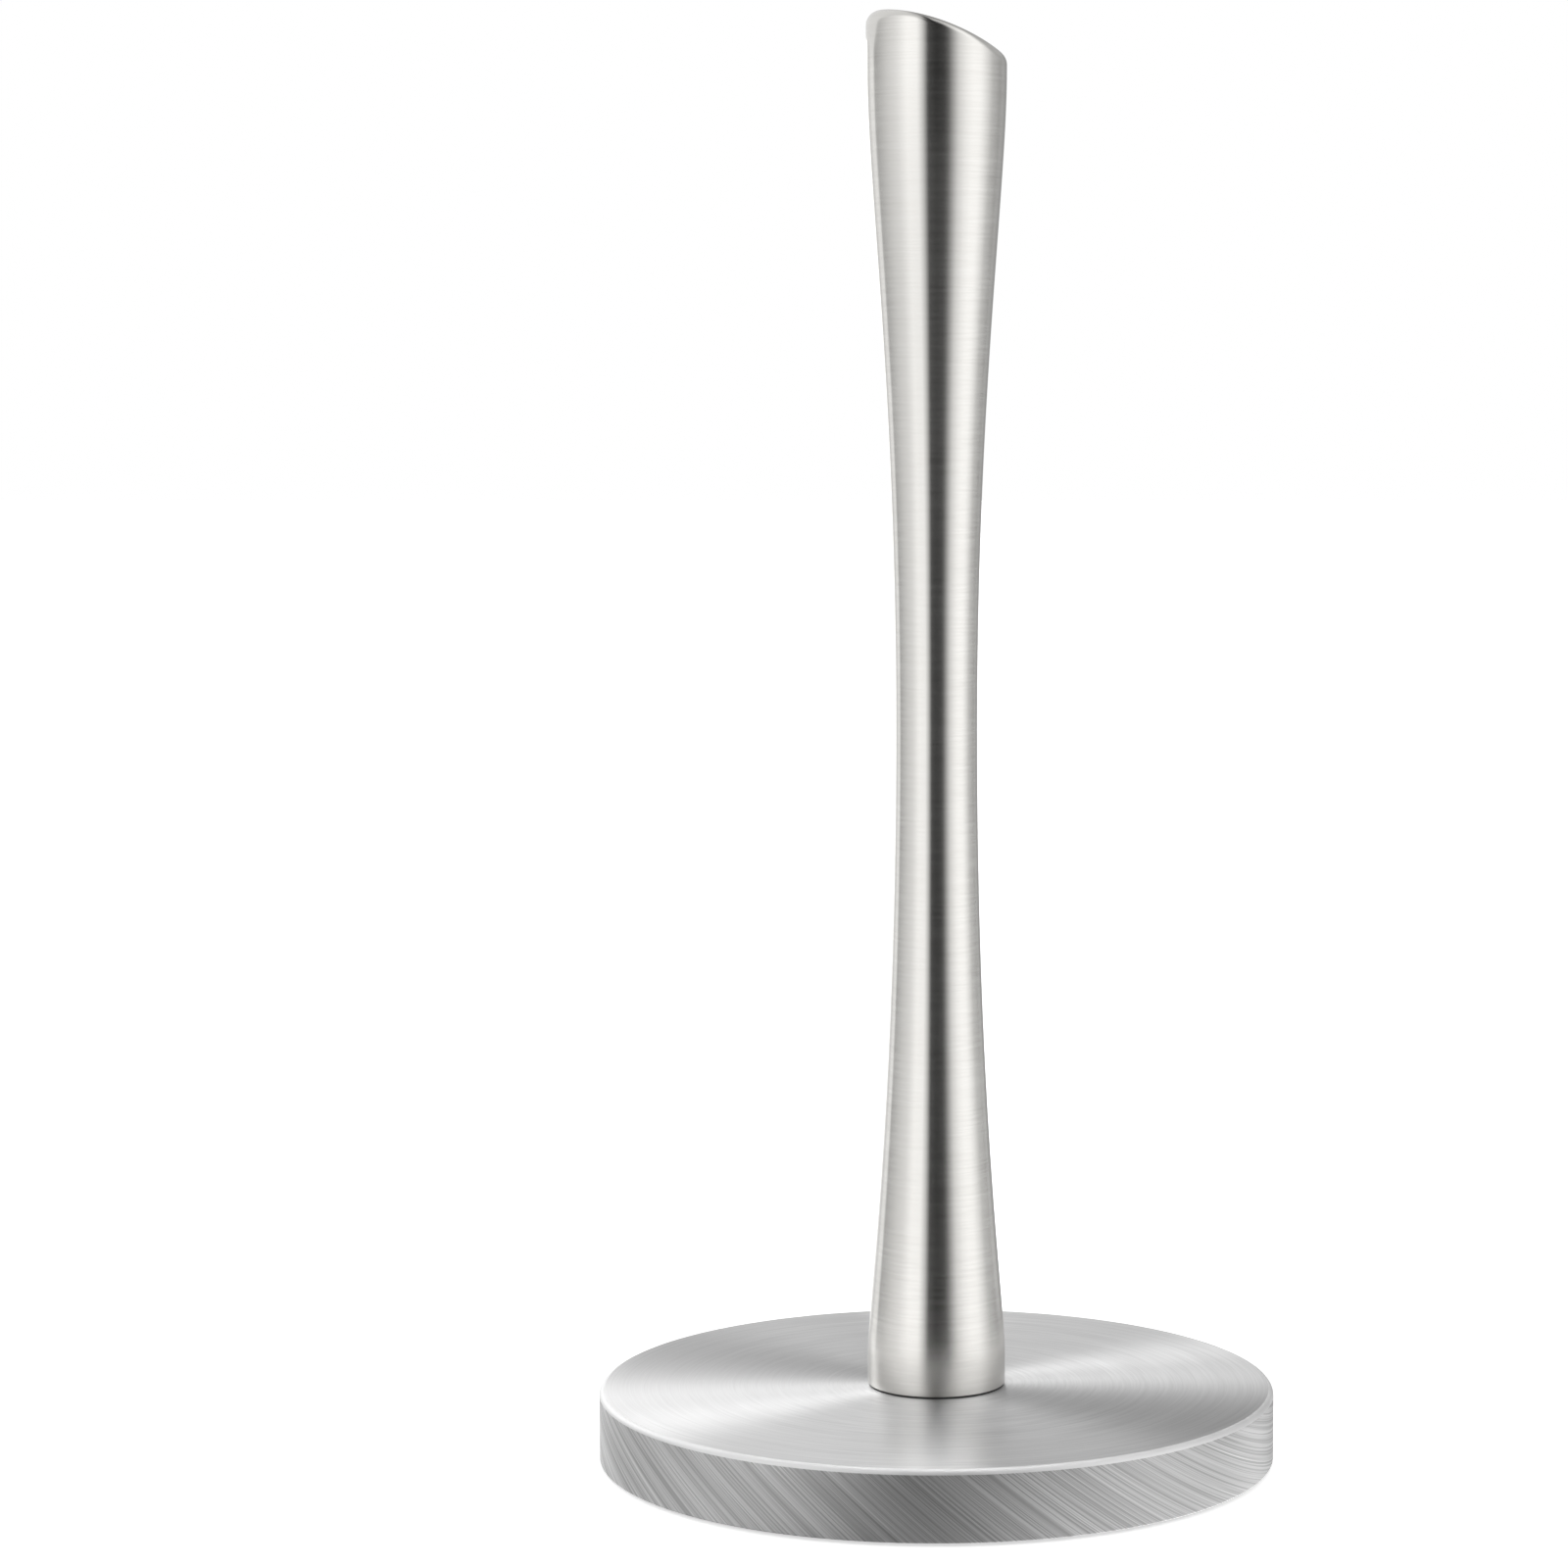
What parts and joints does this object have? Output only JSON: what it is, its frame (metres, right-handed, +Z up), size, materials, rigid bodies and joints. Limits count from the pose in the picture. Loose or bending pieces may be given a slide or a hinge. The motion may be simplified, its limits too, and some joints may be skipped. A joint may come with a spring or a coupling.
{
  "type": "paper towel holder",
  "caption": "Free-standing paper towel holder: heavy round brushed steel base with a waisted hollow post and a slanted, arched top.",
  "frame": {"origin": "on the table, at the centre of the underside of the base, on the post's axis", "axes": "+Z up along the post; the slanted top of the post is high towards -X and low towards +X; seen from the front, the viewer looks along +Y"},
  "size_m": [0.165, 0.165, 0.3505],
  "materials": {
    "post_steel": "stainless, fine scratches around the post",
    "base_steel": "stainless, spun rings on top and slanting brush lines on the side",
    "turned_steel": "turned mild steel",
    "zinc_steel": "bright zinc plated",
    "spring_steel": "phosphated spring steel",
    "ballast_iron": "as cast, dip painted",
    "black_abs": "moulded, fine spark texture",
    "black_nylon": "moulded, smooth",
    "pad_rubber": "matt, two moulded grooves"
  },
  "bodies": {
    "base": {"base_cover": "base_steel", "ballast_plate": "ballast_iron", "base_tray": "black_abs", "tray_screws": "zinc_steel", "nonslip_pad": "pad_rubber", "center_bolt": "zinc_steel", "flat_washer": "zinc_steel", "spring_washer": "spring_steel", "clamp_nut": "zinc_steel"},
    "foot_ring": {"foot_ring": "black_nylon"},
    "post": {"post_tube": "post_steel", "top_cap": "post_steel", "foot_insert": "turned_steel"}
  },
  "joints": [
    {"name": "post_rise", "type": "slide", "parent": "base", "child": "foot_ring", "axis": [0, 0, 1], "range_m": [0, 0.01]},
    {"name": "post_turn", "type": "hinge", "parent": "foot_ring", "child": "post", "pos_m": [0, 0, 0], "axis": [0, 0, 1], "range_deg": [0, 2880]}
  ],
  "couplings": [
    {"joint": "post_turn", "follows": "post_rise", "rad_per_m": 5026.5}
  ]
}
